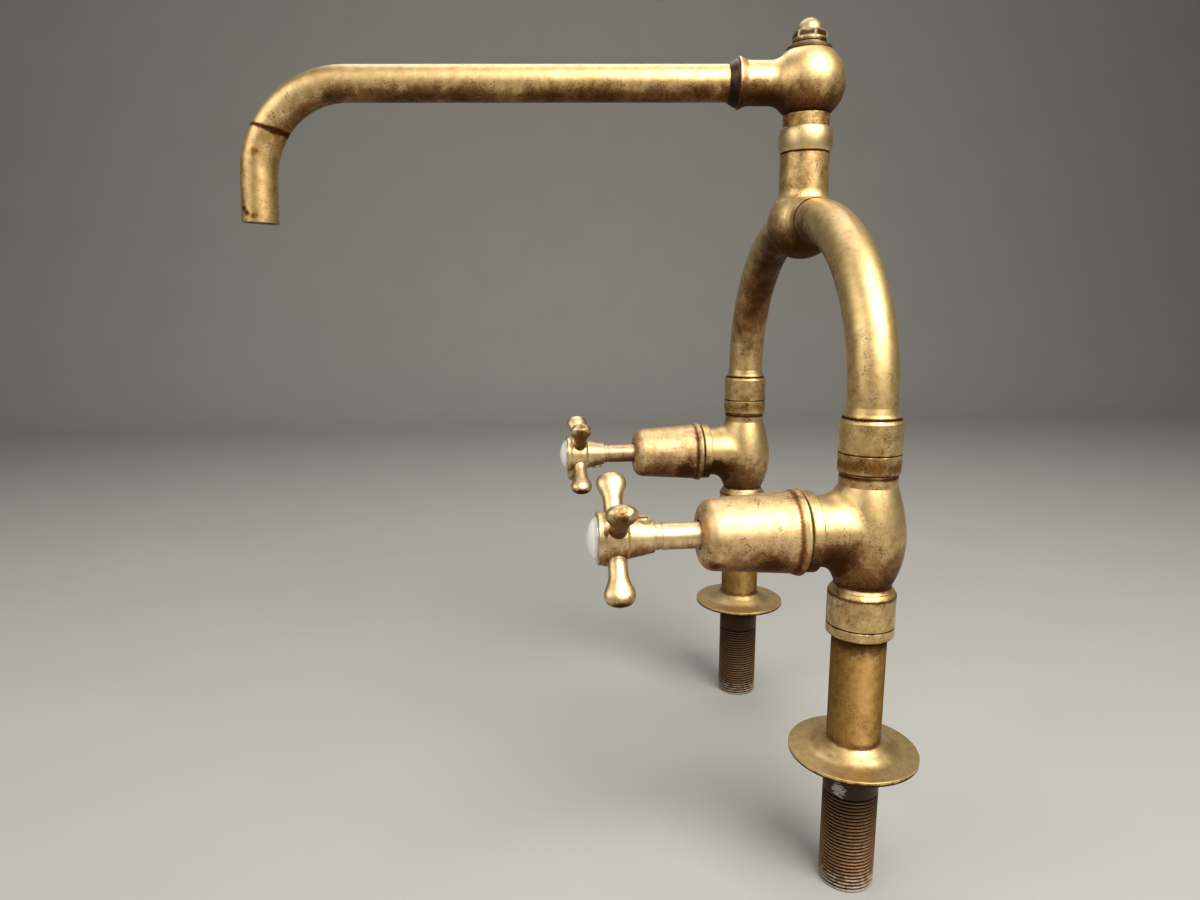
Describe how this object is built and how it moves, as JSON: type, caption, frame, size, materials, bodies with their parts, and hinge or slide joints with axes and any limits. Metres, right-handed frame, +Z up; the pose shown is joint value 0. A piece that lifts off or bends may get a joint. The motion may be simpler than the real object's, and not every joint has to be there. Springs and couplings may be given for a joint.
{
  "type": "bridge kitchen faucet",
  "caption": "Deck-mounted bridge tap: two valves with cross handles, an arched bridge of bent tube and a long hooked swivel spout on a ball head.",
  "frame": {"origin": "on the deck plane under the flanges, midway between the two tails", "axes": "+X along the bridge from the hot leg to the cold leg, -Y out over the sink where the handles and spout point, +Z up"},
  "size_m": [0.2646, 0.3381, 0.433],
  "materials": {
    "aged_brass": "satin, aged, with brown tarnish",
    "brown_brass": "dull brown, unpolished",
    "red_brass": "satin, reddish brown",
    "porcelain": "glazed white",
    "fibre": "matt dark fibre",
    "packing": "graphited yarn",
    "rubber": "matt black",
    "dark_seal": "matt dark grey"
  },
  "bodies": {
    "faucet": {"hot_tail_pipe": "aged_brass", "hot_deck_flange": "aged_brass", "hot_lower_union_ring": "aged_brass", "hot_lower_union_nut": "aged_brass", "hot_lower_union_washer": "fibre", "hot_valve_body": "aged_brass", "hot_upper_lock_ring": "aged_brass", "hot_upper_union_nut": "aged_brass", "hot_upper_union_washer": "fibre", "hot_arm": "aged_brass", "hot_bonnet_washer": "fibre", "hot_headwork": "aged_brass", "hot_gland_packing": "packing", "hot_gland_nut": "aged_brass", "hot_cover": "aged_brass", "cold_tail_pipe": "aged_brass", "cold_deck_flange": "aged_brass", "cold_lower_union_ring": "aged_brass", "cold_lower_union_nut": "aged_brass", "cold_lower_union_washer": "fibre", "cold_valve_body": "aged_brass", "cold_upper_lock_ring": "aged_brass", "cold_upper_union_nut": "aged_brass", "cold_upper_union_washer": "fibre", "cold_arm": "aged_brass", "cold_bonnet_washer": "fibre", "cold_headwork": "aged_brass", "cold_gland_packing": "packing", "cold_gland_nut": "aged_brass", "cold_cover": "aged_brass", "tee_body": "aged_brass", "swivel_post": "aged_brass", "bead_collar": "aged_brass", "top_washer": "brown_brass", "dome_nut": "brown_brass"},
    "spout": {"swivel_head": "aged_brass", "lower_packing": "rubber", "upper_packing": "rubber", "spout_collar": "dark_seal", "spout_tube": "aged_brass", "spout_nozzle": "aged_brass"},
    "hot_jumper_valve": {"hot_jumper": "aged_brass", "hot_jumper_washer": "rubber"},
    "hot_handle": {"hot_spindle": "red_brass", "hot_cross_handle": "aged_brass", "hot_index_disc": "porcelain", "hot_grub_screw": "aged_brass"},
    "cold_jumper_valve": {"cold_jumper": "aged_brass", "cold_jumper_washer": "rubber"},
    "cold_handle": {"cold_spindle": "aged_brass", "cold_cross_handle": "aged_brass", "cold_index_disc": "porcelain", "cold_grub_screw": "aged_brass"}
  },
  "joints": [
    {"name": "spout_swivel", "type": "hinge", "parent": "faucet", "child": "spout", "pos_m": [0, 0, 0.332], "axis": [0, 0, 1], "continuous": true},
    {"name": "hot_jumper_lift", "type": "slide", "parent": "faucet", "child": "hot_jumper_valve", "axis": [0, -1, 0], "range_m": [0, 0.00508]},
    {"name": "hot_handle_turn", "type": "hinge", "parent": "hot_jumper_valve", "child": "hot_handle", "pos_m": [-0.1016, -0.11, 0.1124], "axis": [0, -1, 0], "range_deg": [0, 720]},
    {"name": "cold_jumper_lift", "type": "slide", "parent": "faucet", "child": "cold_jumper_valve", "axis": [0, -1, 0], "range_m": [0, 0.00508]},
    {"name": "cold_handle_turn", "type": "hinge", "parent": "cold_jumper_valve", "child": "cold_handle", "pos_m": [0.1016, -0.11, 0.1124], "axis": [0, -1, 0], "range_deg": [0, 720]}
  ],
  "couplings": [
    {"joint": "hot_handle_turn", "follows": "hot_jumper_lift", "rad_per_m": 2473.7},
    {"joint": "cold_handle_turn", "follows": "cold_jumper_lift", "rad_per_m": 2473.7}
  ]
}
